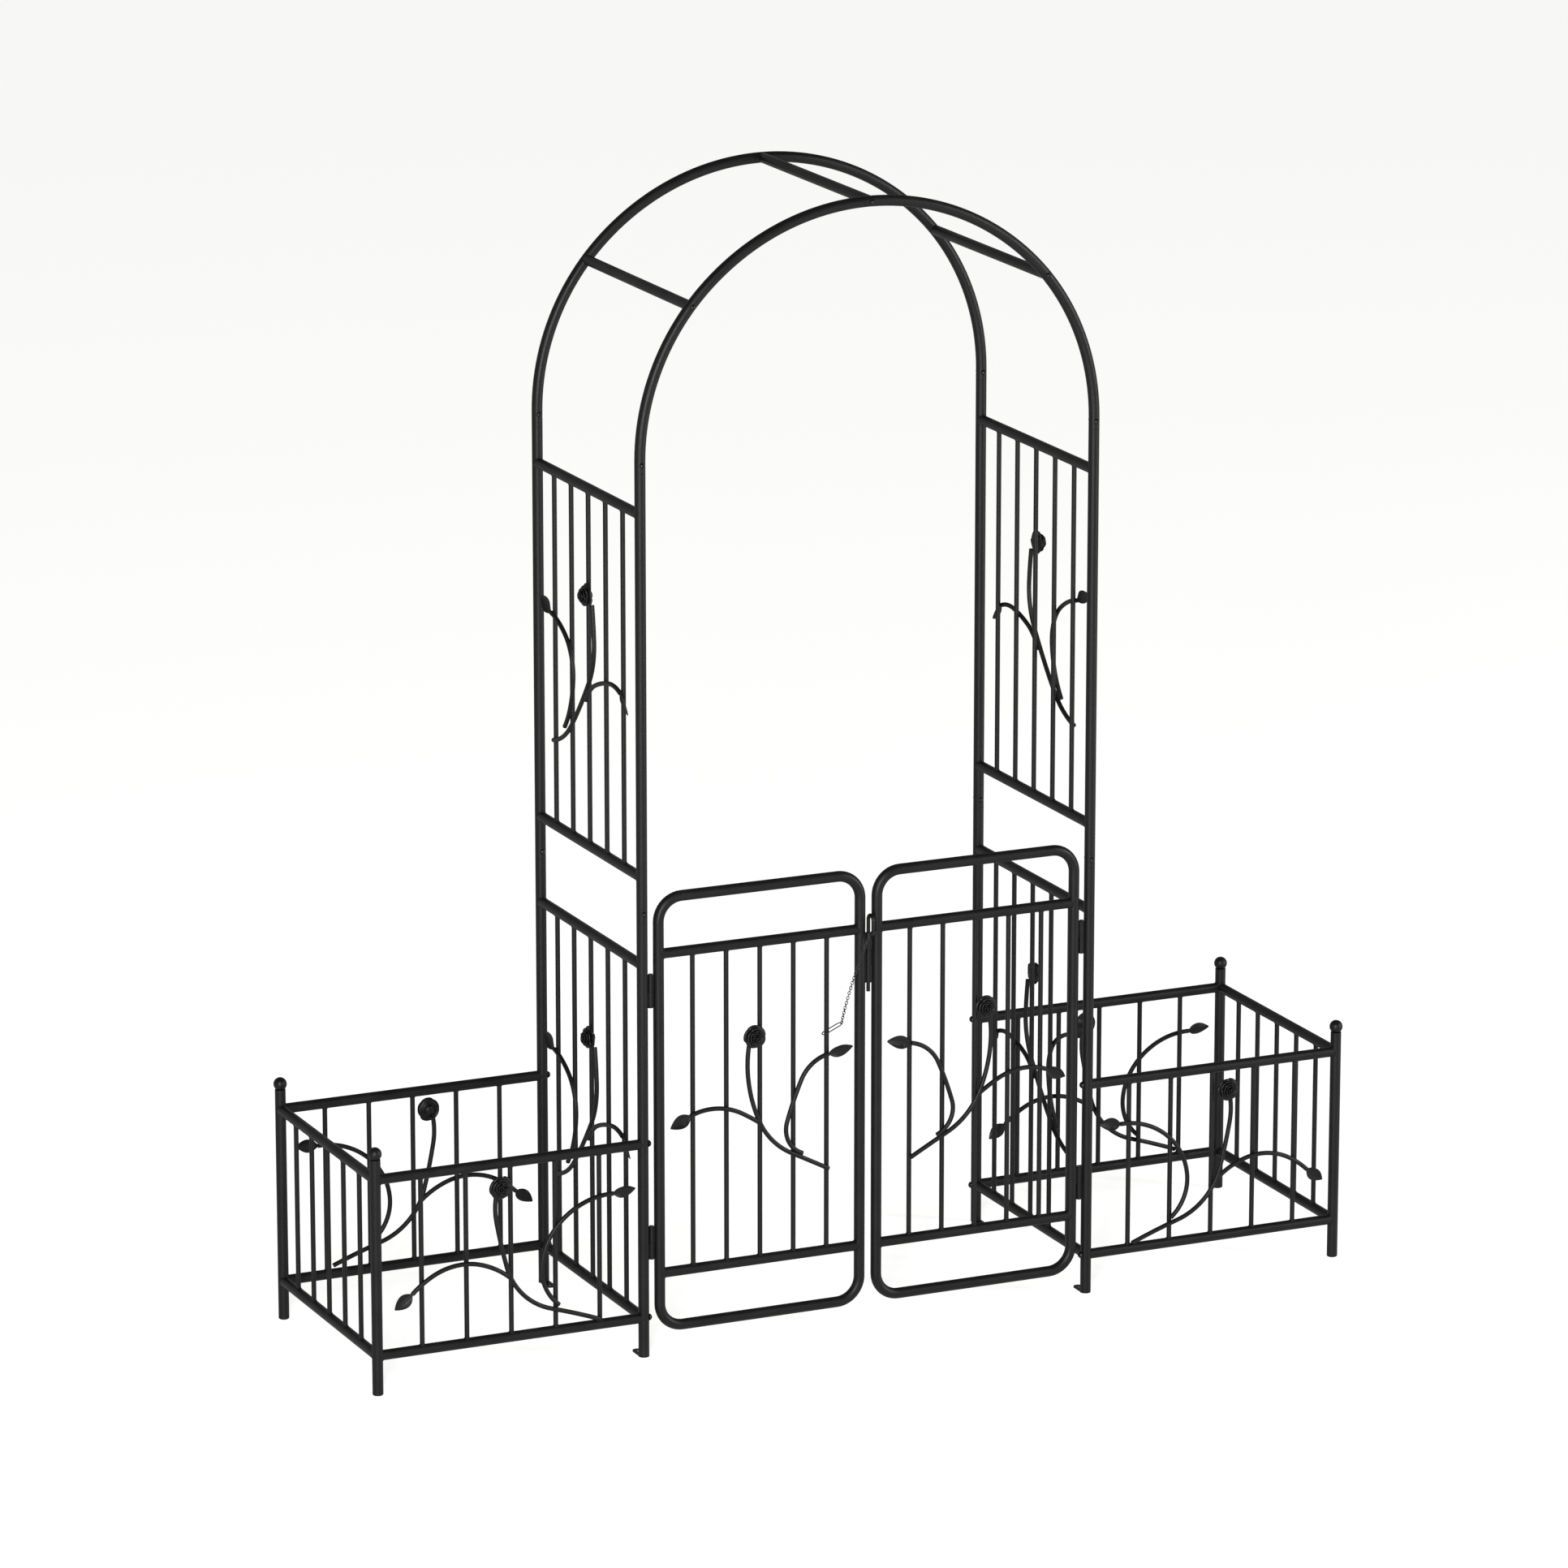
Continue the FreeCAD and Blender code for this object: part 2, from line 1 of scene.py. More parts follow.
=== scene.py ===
import json
import math
import random

import bmesh
import bpy
import numpy as np
from mathutils import Matrix, Vector


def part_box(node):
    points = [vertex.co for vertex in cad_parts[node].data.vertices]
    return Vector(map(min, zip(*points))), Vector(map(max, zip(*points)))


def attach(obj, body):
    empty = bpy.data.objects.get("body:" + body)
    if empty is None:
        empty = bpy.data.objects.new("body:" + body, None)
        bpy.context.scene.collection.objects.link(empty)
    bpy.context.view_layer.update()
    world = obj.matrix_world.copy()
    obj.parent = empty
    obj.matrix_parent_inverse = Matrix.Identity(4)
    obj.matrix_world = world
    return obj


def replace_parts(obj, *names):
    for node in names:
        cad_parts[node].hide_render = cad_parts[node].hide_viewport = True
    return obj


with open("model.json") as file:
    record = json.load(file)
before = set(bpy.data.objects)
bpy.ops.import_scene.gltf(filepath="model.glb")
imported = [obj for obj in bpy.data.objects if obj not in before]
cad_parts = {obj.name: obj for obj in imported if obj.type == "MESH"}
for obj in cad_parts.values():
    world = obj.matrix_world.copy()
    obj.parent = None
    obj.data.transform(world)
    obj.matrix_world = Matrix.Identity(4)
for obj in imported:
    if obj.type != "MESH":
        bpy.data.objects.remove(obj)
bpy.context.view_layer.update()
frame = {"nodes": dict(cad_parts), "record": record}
mm = 0.001
print("frame loaded:", len(frame["nodes"]), "parts")


# ---------- colours and shader helpers

def hexColour(code):
    # sRGB hex to the linear values that shaders want
    parts = [int(code[i:i + 2], 16) / 255 for i in (1, 3, 5)]
    linear = [c / 12.92 if c <= 0.04045 else ((c + 0.055) / 1.055) ** 2.4 for c in parts]
    return (*linear, 1.0)


def addNode(tree, kind, links=None, settings=None, values=None):
    # settings are the node's own fields, values its unlinked inputs, links the outputs that feed it
    node = tree.nodes.new(kind)
    for field, value in (settings or {}).items():
        setattr(node, field, value)
    for socket, value in (values or {}).items():
        node.inputs[socket].default_value = value
    for socket, source in (links or {}).items():
        tree.links.new(source, node.inputs[socket])
    return node


def perMetre(sizeMm):
    # noise scale whose features are about sizeMm across
    return 1000.0 / sizeMm


# ---------- finishes

powderCoat = {  # polyester powder coat on mild steel: fine orange peel, satin, no metal showing
    "colour": "#0f0f0f",
    "paler": "#151515",
    "peel": 1.6,            # mm, drawn coarser than the real 0.4 mm skin so that it shows
    "cloud": 60.0,          # mm, slow change in film thickness
    "roughness": (0.36, 0.50),
    "bump": 0.00004,
}
oxideBolt = {  # black zinc on cold headed steel: smoother and glossier than the coat around it
    "colour": "#0b0b0c",
    "paler": "#121213",
    "peel": 0.8,
    "cloud": 12.0,
    "roughness": (0.20, 0.32),
    "bump": 0.00001,
}
chainWire = {  # black dipped wire; the paler grey, laid in random patches by the cloud noise, is painted sheen for the light on the round wire
    "colour": "#1c1c1d",
    "paler": "#5d5d5c",
    # painted sheen: this lighter grey stands in for light catching the wire
    "peel": 0.6,
    "cloud": 2.4,
    "roughness": (0.28, 0.42),
    "bump": 0.00001,
}
zincInsert = {  # bright zinc plated steel
    "colour": "#9fa3a8",
    "paler": "#b9bdc1",
    "peel": 0.5,
    "cloud": 6.0,
    "roughness": (0.25, 0.40),
    "bump": 0.00001,
}
footPlastic = {  # moulded polyethylene: dull, with a fine spark eroded grain
    "colour": "#151515",
    "paler": "#1b1b1b",
    "peel": 0.5,
    "cloud": 15.0,
    "roughness": (0.50, 0.62),
    "bump": 0.00003,
}


def finish(name, look, metallic=0.0, ior=1.5, specular=0.5):
    material = bpy.data.materials.new(name)
    material.use_nodes = True
    tree = material.node_tree
    tree.nodes.clear()
    place = addNode(tree, "ShaderNodeTexCoord")
    peel = addNode(tree, "ShaderNodeTexNoise", {"Vector": place.outputs["Object"]},
                   values={"Scale": perMetre(look["peel"]), "Detail": 2.0, "Roughness": 0.45})
    cloud = addNode(tree, "ShaderNodeTexNoise", {"Vector": place.outputs["Object"]},
                    values={"Scale": perMetre(look["cloud"]), "Detail": 3.0, "Roughness": 0.6})
    tint = addNode(tree, "ShaderNodeValToRGB", {"Fac": cloud.outputs["Fac"]})
    tint.color_ramp.elements[0].position = 0.35
    tint.color_ramp.elements[1].position = 0.68
    tint.color_ramp.elements[0].color = hexColour(look["colour"])
    tint.color_ramp.elements[1].color = hexColour(look["paler"])
    gloss = addNode(tree, "ShaderNodeMapRange", {"Value": cloud.outputs["Fac"]},
                    values={"From Min": 0.3, "From Max": 0.7, "To Min": look["roughness"][0],
                            "To Max": look["roughness"][1]})
    bump = addNode(tree, "ShaderNodeBump", {"Height": peel.outputs["Fac"]},
                   values={"Strength": 0.6, "Distance": look["bump"] * 10})
    shader = addNode(tree, "ShaderNodeBsdfPrincipled",
                     {"Base Color": tint.outputs["Color"], "Roughness": gloss.outputs["Result"],
                      "Normal": bump.outputs["Normal"]},
                     values={"Metallic": metallic, "IOR": ior, "Specular IOR Level": specular})
    addNode(tree, "ShaderNodeOutputMaterial", {"Surface": shader.outputs["BSDF"]})
    return material


coat = finish("satinPowderCoat", powderCoat, specular=0.4)
bolts = finish("blackZincBolt", oxideBolt, specular=0.6)
wire = finish("dippedChainWire", chainWire, metallic=0.35)
zinc = finish("zincPlate", zincInsert, metallic=1.0)
plastic = finish("mouldedPolyethylene", footPlastic, specular=0.4)
bySlot = {
    "powder_coated_steel": coat,
    "black_fasteners": bolts,
    "chain_wire": wire,
    "zinc_inserts": zinc,
    "cap_plastic": plastic,
}
slotOf = {part["node"]: part["material_slot"] for part in frame["record"]["subparts"]}
for name, thing in frame["nodes"].items():
    thing.data.materials.clear()
    thing.data.materials.append(bySlot[slotOf[name]])
print("finishes on", len(slotOf), "parts")


# ---------- reading places from the frame

def islands(node):
    # the separate solids of a part, each as an array of corner points
    mesh = frame["nodes"][node].data
    points = np.array([v.co for v in mesh.vertices], float)
    keys = {}
    spot = [keys.setdefault(tuple(p), len(keys)) for p in np.round(points / (0.01 * mm)).astype(int).tolist()]
    parent = list(range(len(keys)))

    def root(i):
        while parent[i] != i:
            parent[i] = parent[parent[i]]
            i = parent[i]
        return i

    for face in mesh.polygons:
        first = root(spot[face.vertices[0]])
        for v in face.vertices[1:]:
            parent[root(spot[v])] = first
    groups = {}
    for i, s in enumerate(spot):
        groups.setdefault(root(s), []).append(i)
    return [points[g] for g in groups.values()]


def middle(points):
    return Vector((points.min(0) + points.max(0)) / 2)


def basis(right, upward, out):
    return Matrix((right, upward, out)).transposed()


def outwards(points):
    # a flat ornament faces along its thinnest direction, away from the middle of the arch
    size = points.max(0) - points.min(0)
    size[2] = 1.0
    axis = int(np.argmin(size))
    normal = Vector((0, 0, 0))
    normal[axis] = math.copysign(1.0, middle(points)[axis])
    return normal


# ---------- Geometry Nodes: one part set out on many points

def openTree(name, inputs):
    # inputs: (label, socket type, default)
    tree = bpy.data.node_groups.new(name, "GeometryNodeTree")
    tree.interface.new_socket("Geometry", in_out="INPUT", socket_type="NodeSocketGeometry")
    tree.interface.new_socket("Geometry", in_out="OUTPUT", socket_type="NodeSocketGeometry")
    for label, kind, default in inputs:
        socket = tree.interface.new_socket(label, in_out="INPUT", socket_type=kind)
        if default is not None:
            socket.default_value = default
    return tree, addNode(tree, "NodeGroupInput"), addNode(tree, "NodeGroupOutput")


def closeTree(tree, ends, geometry, material):
    real = addNode(tree, "GeometryNodeRealizeInstances", {"Geometry": geometry})
    painted = addNode(tree, "GeometryNodeSetMaterial",
                      {"Geometry": real.outputs["Geometry"], "Material": material})
    tree.links.new(painted.outputs["Geometry"], ends.inputs["Geometry"])


def pointsWith(name, places):
    # places: (location, 3x3 basis, scale); the turn is stored as an Euler angle for the tree to read
    mesh = bpy.data.meshes.new(name)
    mesh.from_pydata([tuple(p[0]) for p in places], [], [])
    turn = mesh.attributes.new("turn", "FLOAT_VECTOR", "POINT")
    size = mesh.attributes.new("size", "FLOAT_VECTOR", "POINT")
    for i, (location, turned, scale) in enumerate(places):
        turn.data[i].vector = turned.to_euler()
        size.data[i].vector = scale
    thing = bpy.data.objects.new(name, mesh)
    bpy.context.scene.collection.objects.link(thing)
    return thing


def grow(thing, tree, values):
    # runs the tree on thing and keeps the result as a plain mesh
    modifier = thing.modifiers.new(tree.name, "NODES")
    modifier.node_group = tree
    sockets = {item.name: item.identifier for item in tree.interface.items_tree if item.in_out == "INPUT"}
    for label, value in values.items():
        modifier[sockets[label]] = value
    bpy.context.view_layer.update()
    evaluated = thing.evaluated_get(bpy.context.evaluated_depsgraph_get())
    mesh = bpy.data.meshes.new_from_object(evaluated)
    thing.modifiers.remove(modifier)
    thing.data = mesh
    mesh.shade_smooth()
    return thing


def readAttribute(tree, label):
    return addNode(tree, "GeometryNodeInputNamedAttribute", None, {"data_type": "FLOAT_VECTOR"},
                   {"Name": label}).outputs["Attribute"]


def settingOut():
    # any part, placed and turned on each point
    tree, start, ends = openTree("settingOut", [("Part", "NodeSocketObject", None),
                                                ("Finish", "NodeSocketMaterial", None)])
    part = addNode(tree, "GeometryNodeObjectInfo", {"Object": start.outputs["Part"]})
    dots = addNode(tree, "GeometryNodeMeshToPoints", {"Mesh": start.outputs["Geometry"]})
    placed = addNode(tree, "GeometryNodeInstanceOnPoints",
                     {"Points": dots.outputs["Points"], "Instance": part.outputs["Geometry"],
                      "Rotation": readAttribute(tree, "turn"), "Scale": readAttribute(tree, "size")})
    closeTree(tree, ends, placed.outputs["Instances"], start.outputs["Finish"])
    return tree


setOut = settingOut()


def spread(name, part, places, material):
    return grow(pointsWith(name, places), setOut, {"Part": part, "Finish": material})


def partFrom(name, mesh, *modifiers):
    # a hidden master for setting out: modifiers are (kind, settings)
    thing = bpy.data.objects.new(name, mesh)
    bpy.context.scene.collection.objects.link(thing)
    for kind, settings in modifiers:
        modifier = thing.modifiers.new(kind.lower(), kind)
        for field, value in settings.items():
            setattr(modifier, field, value)
    bpy.context.view_layer.update()
    evaluated = thing.evaluated_get(bpy.context.evaluated_depsgraph_get())
    plain = bpy.data.meshes.new_from_object(evaluated)
    thing.modifiers.clear()
    thing.data = plain
    plain.shade_smooth()
    return thing


masters = []


def master(name, mesh, *modifiers):
    thing = partFrom(name, mesh, *modifiers)
    masters.append(thing)
    return thing


def meshOf(name, points, faces):
    mesh = bpy.data.meshes.new(name)
    mesh.from_pydata([tuple(p) for p in points], [], faces)
    work = bmesh.new()
    work.from_mesh(mesh)
    bmesh.ops.remove_doubles(work, verts=work.verts, dist=0.002 * mm)
    bmesh.ops.recalc_face_normals(work, faces=work.faces)
    work.to_mesh(mesh)
    work.free()
    return mesh


def gridFaces(rows, columns, offset=0, closed=False):
    faces = []
    for i in range(rows - 1):
        for j in range(columns if closed else columns - 1):
            k = (j + 1) % columns
            faces.append((offset + i * columns + j, offset + i * columns + k,
                          offset + (i + 1) * columns + k, offset + (i + 1) * columns + j))
    return faces


def lathe(name, profile, sides):
    # profile: (radius, height) in millimetres from one end of the axis to the other
    points = []
    for radius, height in profile:
        for j in range(sides):
            angle = 2 * math.pi * j / sides
            points.append(Vector((radius * math.cos(angle), radius * math.sin(angle), height)) * mm)
    faces = gridFaces(len(profile), sides, closed=True)
    if profile[0][0] > 0.01:
        faces.append(tuple(range(sides))[::-1])
    if profile[-1][0] > 0.01:
        faces.append(tuple(range(len(points) - sides, len(points))))
    return meshOf(name, points, faces)


# ---------- roses

rose = {
    "steel": 0.9,           # mm, sheet thickness
    "layers": [  # petals, inner and outer radius, foot and rim height, curl, overlap
        (5, 7.0, 22.6, 3.0, 13.5, 4.6, 1.38),
        (4, 6.0, 18.6, 5.0, 19.0, 3.6, 1.42),
        (4, 4.6, 14.4, 6.5, 22.5, 2.6, 1.42),
        (3, 3.2, 10.2, 8.0, 25.2, 1.7, 1.48),
        (3, 2.0, 6.2, 9.0, 25.8, 0.9, 1.55),
        (2, 0.9, 3.0, 10.0, 25.2, 0.3, 1.60),
    ],
    "across": 11,
    "along": 7,
    "seed": 7,
    "cup": [(0, 0), (5.0, 0), (8.4, 2.0), (10.0, 5.4), (8.6, 9.0), (3.6, 11.0), (0, 11.6)],
    "bud": [(0, 8.0), (2.2, 9.0), (2.7, 16.0), (2.3, 22.4), (1.2, 24.2), (0, 24.6)],
    "firstRoll": 0.4,       # radians, so that no two roses sit alike
    "nextRoll": 0.7,
}


def petals():
    draw = random.Random(rose["seed"])
    points, faces = [], []
    for layer, (count, inner, outer, foot, rim, curl, overlap) in enumerate(rose["layers"]):
        for petal in range(count):
            turn = 2 * math.pi * petal / count + layer * 0.9 + draw.uniform(-0.12, 0.12)
            reach = outer * draw.uniform(0.94, 1.03)
            rise = rim + draw.uniform(-0.6, 0.4)
            offset = len(points)
            for i in range(rose["along"]):
                v = i / (rose["along"] - 1)
                for j in range(rose["across"]):
                    u = 2 * j / (rose["across"] - 1) - 1
                    angle = turn + u * math.pi / count * overlap * (1 - 0.12 * v ** 3)
                    radius = inner + (reach - inner) * v ** 0.75 + 0.9 * u * v
                    radius -= 0.10 * reach * abs(u) ** 3 * v
                    height = foot + (rise - foot) * math.sin(v * math.pi / 2) ** 0.9
                    height -= curl * v ** 5 + 0.22 * (rise - foot) * abs(u) ** 2.5 * v ** 2
                    spot = Vector((radius * math.cos(angle), radius * math.sin(angle), height))
                    points.append(spot * mm)
            faces += gridFaces(rose["along"], rose["across"], offset)
    mesh = bpy.data.meshes.new("rosePetals")
    mesh.from_pydata([tuple(p) for p in points], [], faces)
    return mesh


def joinMeshes(name, *meshes):
    work = bmesh.new()
    for mesh in meshes:
        work.from_mesh(mesh)
    joined = bpy.data.meshes.new(name)
    work.to_mesh(joined)
    work.free()
    return joined


roseSheet = partFrom("rosePressing", petals(),
                     ("SOLIDIFY", {"thickness": rose["steel"] * mm, "offset": -1.0}),
                     ("SUBSURF", {"levels": 1, "render_levels": 1}))
roseCup = lathe("roseCup", rose["cup"], 20)
roseBud = lathe("roseBud", rose["bud"], 14)
roseMaster = master("roseMaster", joinMeshes("roseWhole", roseSheet.data, roseCup, roseBud))
masters.append(roseSheet)


def rosePlaces(node):
    places = []
    for number, points in enumerate(islands(node)):
        out = outwards(points)
        up = Vector((0, 0, 1))
        right = up.cross(out)
        spot = middle(points)
        axis = 0 if abs(out.x) > 0.5 else 1
        low, high = points[:, axis].min(), points[:, axis].max()
        spot[axis] = low if out[axis] > 0 else high
        roll = Matrix.Rotation(rose["nextRoll"] * number + rose["firstRoll"], 3, "Z")
        places.append((spot, basis(right, up, out) @ roll, (1, 1, 1)))
    return places


# ---------- leaves

leafLook = {
    "length": 46.0,         # mm
    "width": 25.0,
    "steel": 1.5,
    "cup": 4.2,
    "twist": 16.0,          # degrees about the midrib, so the blade shows from the side
    "vein": 0.55,
    "along": 22,
    "across": 15,
}


def leafMesh():
    # lies in its own XY plane, foot at the origin, tip along +X
    points = []
    for i in range(leafLook["along"]):
        u = i / (leafLook["along"] - 1)
        half = leafLook["width"] / 2 * (math.sin(math.pi * u ** 0.85) ** 0.85 if 0 < u < 1 else 0)
        half = max(half, 1.9 * (1 - u) ** 2, 0.25)
        for j in range(leafLook["across"]):
            v = 2 * j / (leafLook["across"] - 1) - 1
            lift = leafLook["cup"] * (abs(v) ** 1.8) * half / (leafLook["width"] / 2)
            rib = leafLook["vein"] * 1.8 * math.exp(-(v * half / 0.9) ** 2) * (1 - 0.6 * u)
            branch = 0.5 + 0.5 * math.cos(2 * math.pi * (7 * u - 2.6 * abs(v) * half / 12.5))
            side = leafLook["vein"] * branch ** 4 * math.sin(math.pi * min(abs(v) * 1.1, 1))
            rise = lift + rib + side * math.sin(math.pi * u) - 1.6 * math.sin(math.pi * u)
            turn = math.radians(leafLook["twist"]) * min(3 * u, 1)
            across = v * half
            points.append(Vector((leafLook["length"] * u, across * math.cos(turn) - rise * math.sin(turn),
                                  across * math.sin(turn) + rise * math.cos(turn))) * mm)
    mesh = bpy.data.meshes.new("leafSheet")
    mesh.from_pydata([tuple(p) for p in points], [], gridFaces(leafLook["along"], leafLook["across"]))
    return mesh


leafMaster = master("leafMaster", leafMesh(),
                    ("SOLIDIFY", {"thickness": leafLook["steel"] * mm, "offset": 0.0}),
                    ("SUBSURF", {"levels": 1, "render_levels": 1}))


def leafPlaces(node, stems):
    stemPoints = np.concatenate([np.array([v.co for v in frame["nodes"][s].data.vertices]) for s in stems])
    places = []
    for points in islands(node):
        out = outwards(points)
        centre = np.array(middle(points))
        far = points[np.argmax(((points - centre) ** 2).sum(1))]
        other = points[np.argmax(((points - far) ** 2).sum(1))]
        gaps = [((stemPoints - end) ** 2).sum(1).min() for end in (far, other)]
        foot, tip = (far, other) if gaps[0] < gaps[1] else (other, far)
        along = Vector(tip - foot)
        along -= out * along.dot(out)
        length = along.length
        along.normalize()
        spot = Vector(foot)
        axis = 0 if abs(out.x) > 0.5 else 1
        spot[axis] = centre[axis]
        scale = length / (leafLook["length"] * mm)
        places.append((spot, basis(along, out.cross(along), out), (scale, 1, 1)))
    return places


vinesOf = {"left_gate": ["left_gate_vine"], "right_gate": ["right_gate_vine"],
           "frame": [n for n in frame["nodes"] if n.endswith("_vines")]}
for body, stems in vinesOf.items():
    flowerNode = body + ("_flowers" if body == "frame" else "_flower")
    leafNode = body + "_leaves"
    roses = spread(body + "_pressed_roses", roseMaster, rosePlaces(flowerNode), coat)
    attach(roses, body)
    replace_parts(roses, flowerNode)
    leaves = spread(body + "_veined_leaves", leafMaster, leafPlaces(leafNode, stems), coat)
    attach(leaves, body)
    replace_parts(leaves, leafNode)
print("roses and leaves done")


# ---------- bolts and nuts

boltLook = {"sides": 32, "shank": 2.5, "socket": 1.9, "socketDepth": 2.0}   # mm
nutLook = {"across": 9.0, "height": 4.0, "bore": 2.55}


def domeProfile(headR, headH, shankLength):
    ball = (headR ** 2 + headH ** 2) / (2 * headH)
    start = math.acos((ball - headH) / ball)
    dome = []
    for i in range(9):
        angle = start * (1 - i / 8 * 0.78)
        dome.append((ball * math.sin(angle), headH - ball + ball * math.cos(angle)))
    rim = [(boltLook["shank"], -shankLength), (boltLook["shank"], 0.0), (headR - 0.5, 0.0),
           (headR, 0.25), (headR, 0.5)]
    dome = [(r, max(h, 0.5)) for r, h in dome if r < headR - 0.05]
    crown = dome[-1][1]
    depth = boltLook["socketDepth"]
    socket = [(boltLook["socket"], crown), (boltLook["socket"] - 0.15, crown - depth), (0, crown - depth - 0.4)]
    return rim + dome + socket


def nutMesh(across, height, bore):
    # hexagon with a turned chamfer, from a round lathe snapped to the flats
    rows = [(0.90, 0.0), (1.0, 0.45), (1.0, height - 0.45), (0.90, height), (None, height), (None, 0.0)]
    sides = 36
    points = []
    for scale, z in rows:
        for j in range(sides):
            angle = 2 * math.pi * j / sides
            flat = across / 2 / math.cos((angle + math.pi / 6) % (math.pi / 3) - math.pi / 6)
            if scale is None:
                radius = bore
            elif scale < 1:
                radius = min(flat, across / 2 * 1.155 * scale)
            else:
                radius = flat
            points.append(Vector((radius * math.cos(angle), radius * math.sin(angle), z)) * mm)
    faces = gridFaces(len(rows), sides, closed=True)
    last = (len(rows) - 1) * sides
    faces += [(last + j, last + (j + 1) % sides, (j + 1) % sides, j) for j in range(sides)]
    return meshOf("hexNut", points, faces)


def boltPlaces(node):
    # local +Z points out of the head; the origin is where the head sits
    places, sizes = [], []
    for points in islands(node):
        size = points.max(0) - points.min(0)
        axis = int(np.argmax(size))
        low, high = points[:, axis].min(), points[:, axis].max()
        others = [i for i in range(3) if i != axis]
        radius = (size[others[0]] + size[others[1]]) / 4

        out = Vector((0, 0, 0))
        rims = points[np.hypot(*(points[:, others] - np.array(middle(points))[others]).T) > radius - 0.3 * mm]
        level = rims[:, axis].mean()
        out[axis] = 1.0 if high - level < level - low else -1.0
        spot = middle(points)
        headH = (high - level) if out[axis] > 0 else (level - low)
        spot[axis] = level
        right = Vector((0, 0, 1)) if axis != 2 else Vector((1, 0, 0))
        places.append((spot, basis(right, out.cross(right), out), (1, 1, 1)))
        sizes.append((radius / mm, headH / mm, (size[axis] - headH) / mm))
    return places, sizes[0]


for node in ("sleeve_bolts", "planter_bolts", "crossbar_bolts"):
    places, (headR, headH, shankLength) = boltPlaces(node)
    shape = lathe(node + "Shape", domeProfile(headR, headH, shankLength), boltLook["sides"])
    boltMaster = master(node + "Master", shape)
    pieces = spread(node + "_socket_head", boltMaster, places, bolts)
    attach(pieces, "frame")
    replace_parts(pieces, node)
    print(node, round(headR, 2), round(headH, 2), round(shankLength, 1))

nutPlaces = []
for points in islands("sleeve_nuts"):
    spot = middle(points)
    spot.y = points[:, 1].min()
    out = Vector((0, 1, 0))
    right = Vector((0, 0, 1))
    nutPlaces.append((spot, basis(right, out.cross(right), out), (1, 1, 1)))
nutMaster = master("nutMaster", nutMesh(nutLook["across"], nutLook["height"], nutLook["bore"]))
nuts = spread("sleeve_hex_nuts", nutMaster, nutPlaces, bolts)
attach(nuts, "frame")
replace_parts(nuts, "sleeve_nuts")
print("bolts and nuts done")


# ---------- chain, jump ring and the long ring: round wire bent into ovals

def ovalLinkTree():
    tree, start, ends = openTree("ovalLink", [("Half length", "NodeSocketFloat", 0.003),
                                              ("Half width", "NodeSocketFloat", 0.002),
                                              ("Wire radius", "NodeSocketFloat", 0.0007),
                                              ("Finish", "NodeSocketMaterial", None)])
    times = {"operation": "MULTIPLY"}
    height = addNode(tree, "ShaderNodeMath", {0: start.outputs["Half length"]}, times, {1: 2.0})
    width = addNode(tree, "ShaderNodeMath", {0: start.outputs["Half width"]}, times, {1: 2.0})
    corner = addNode(tree, "ShaderNodeMath", {0: start.outputs["Half width"]}, times, {1: 0.999})
    frameCurve = addNode(tree, "GeometryNodeCurvePrimitiveQuadrilateral",
                         {"Width": width.outputs[0], "Height": height.outputs[0]})
    oval = addNode(tree, "GeometryNodeFilletCurve", {"Curve": frameCurve.outputs["Curve"],
                                                     "Radius": corner.outputs[0]},
                   {"mode": "POLY"}, {"Count": 6})
    section = addNode(tree, "GeometryNodeCurvePrimitiveCircle", {"Radius": start.outputs["Wire radius"]},
                      None, {"Resolution": 10})
    link = addNode(tree, "GeometryNodeCurveToMesh", {"Curve": oval.outputs["Curve"],
                                                     "Profile Curve": section.outputs["Curve"]})
    dots = addNode(tree, "GeometryNodeMeshToPoints", {"Mesh": start.outputs["Geometry"]})
    placed = addNode(tree, "GeometryNodeInstanceOnPoints",
                     {"Points": dots.outputs["Points"], "Instance": link.outputs["Mesh"],
                      "Rotation": readAttribute(tree, "turn")})
    closeTree(tree, ends, placed.outputs["Instances"], start.outputs["Finish"])
    return tree


ovalLink = ovalLinkTree()


def ovalPlace(points):
    # the solid's own three axes, longest first, give how the wire oval lies
    centre = points.mean(0)
    axes = np.linalg.eigh(np.cov((points - centre).T))[1][:, ::-1].T
    sizes = [np.ptp((points - centre) @ axis) for axis in axes]
    long, wide = Vector(axes[0]), Vector(axes[1])
    wireR = sizes[2] / 2
    place = (middle(points), basis(wide, long, wide.cross(long)), (1, 1, 1))
    return place, sizes[0] / 2 - wireR, sizes[1] / 2 - wireR, wireR


def bentWire(name, chosen):
    found = [ovalPlace(points) for points in chosen]
    halfLength, halfWidth, wireR = np.median([f[1:] for f in found], axis=0)
    piece = grow(pointsWith(name, [f[0] for f in found]), ovalLink,
                 {"Half length": halfLength, "Half width": halfWidth, "Wire radius": wireR, "Finish": wire})
    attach(piece, "latch_pin")
    print(name, len(found), "wire ovals, half length", round(halfLength / mm, 2), "mm")
    return piece


wires = sorted(islands("latch_chain"), key=lambda points: np.ptp(points, axis=0).sum())
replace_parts(bentWire("chain_links", wires[:-1]), "latch_chain")
bentWire("chain_jump_ring", wires[-1:])
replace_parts(bentWire("chain_long_ring", islands("chain_ring")), "chain_ring")


# ---------- weld beads where a bar or rail meets a round tube

weldLook = {
    "bead": 1.15,           # mm, radius of the bead's section
    "stand": 0.1,           # mm, how far its line stands off the bar
    "ripple": 0.45,         # how much the bead swells and thins round the joint
    "seed": 4.0,
}


